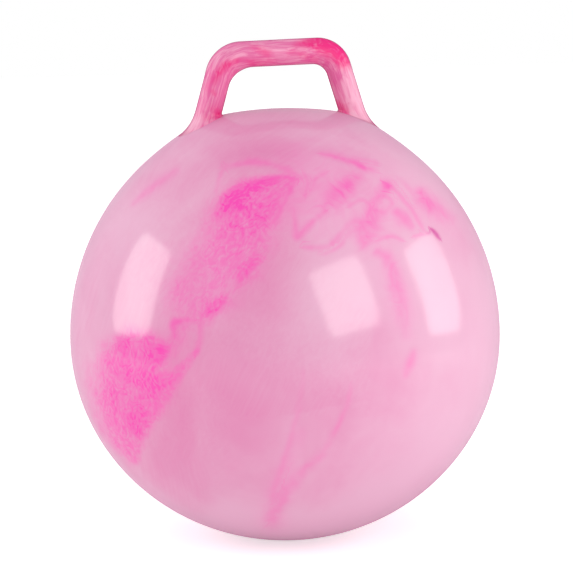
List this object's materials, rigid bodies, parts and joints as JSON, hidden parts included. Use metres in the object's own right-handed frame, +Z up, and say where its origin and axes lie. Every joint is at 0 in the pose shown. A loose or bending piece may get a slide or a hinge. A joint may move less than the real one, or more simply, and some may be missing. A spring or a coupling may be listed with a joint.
{
  "type": "hopper ball",
  "caption": "Marbled vinyl hopper ball: a hollow inflatable ball with a loop handle on its crown, a small flat to rest on and a pull-out plug in a valve sleeve at the back.",
  "frame": {"origin": "middle of the flat that the ball rests on", "axes": "+Z up through the crown, X along the handle's bar, +Y to the side that holds the valve"},
  "size_m": [0.45, 0.45, 0.5207],
  "materials": {
    "ball_vinyl": "glossy, marbled in pale and hot pink",
    "handle_vinyl": "glossy, streaked in pale and hot pink",
    "sleeve_vinyl": "satin",
    "plug_plastic": "satin, milky white"
  },
  "bodies": {
    "ball": {"ball_shell": "ball_vinyl", "handle": "handle_vinyl", "valve_sleeve": "sleeve_vinyl"},
    "plug": {"valve_plug": "plug_plastic"}
  },
  "joints": [
    {"name": "plug_pull", "type": "slide", "parent": "ball", "child": "plug", "axis": [0, 0.866, 0.5], "range_m": [0, 0.024]}
  ]
}
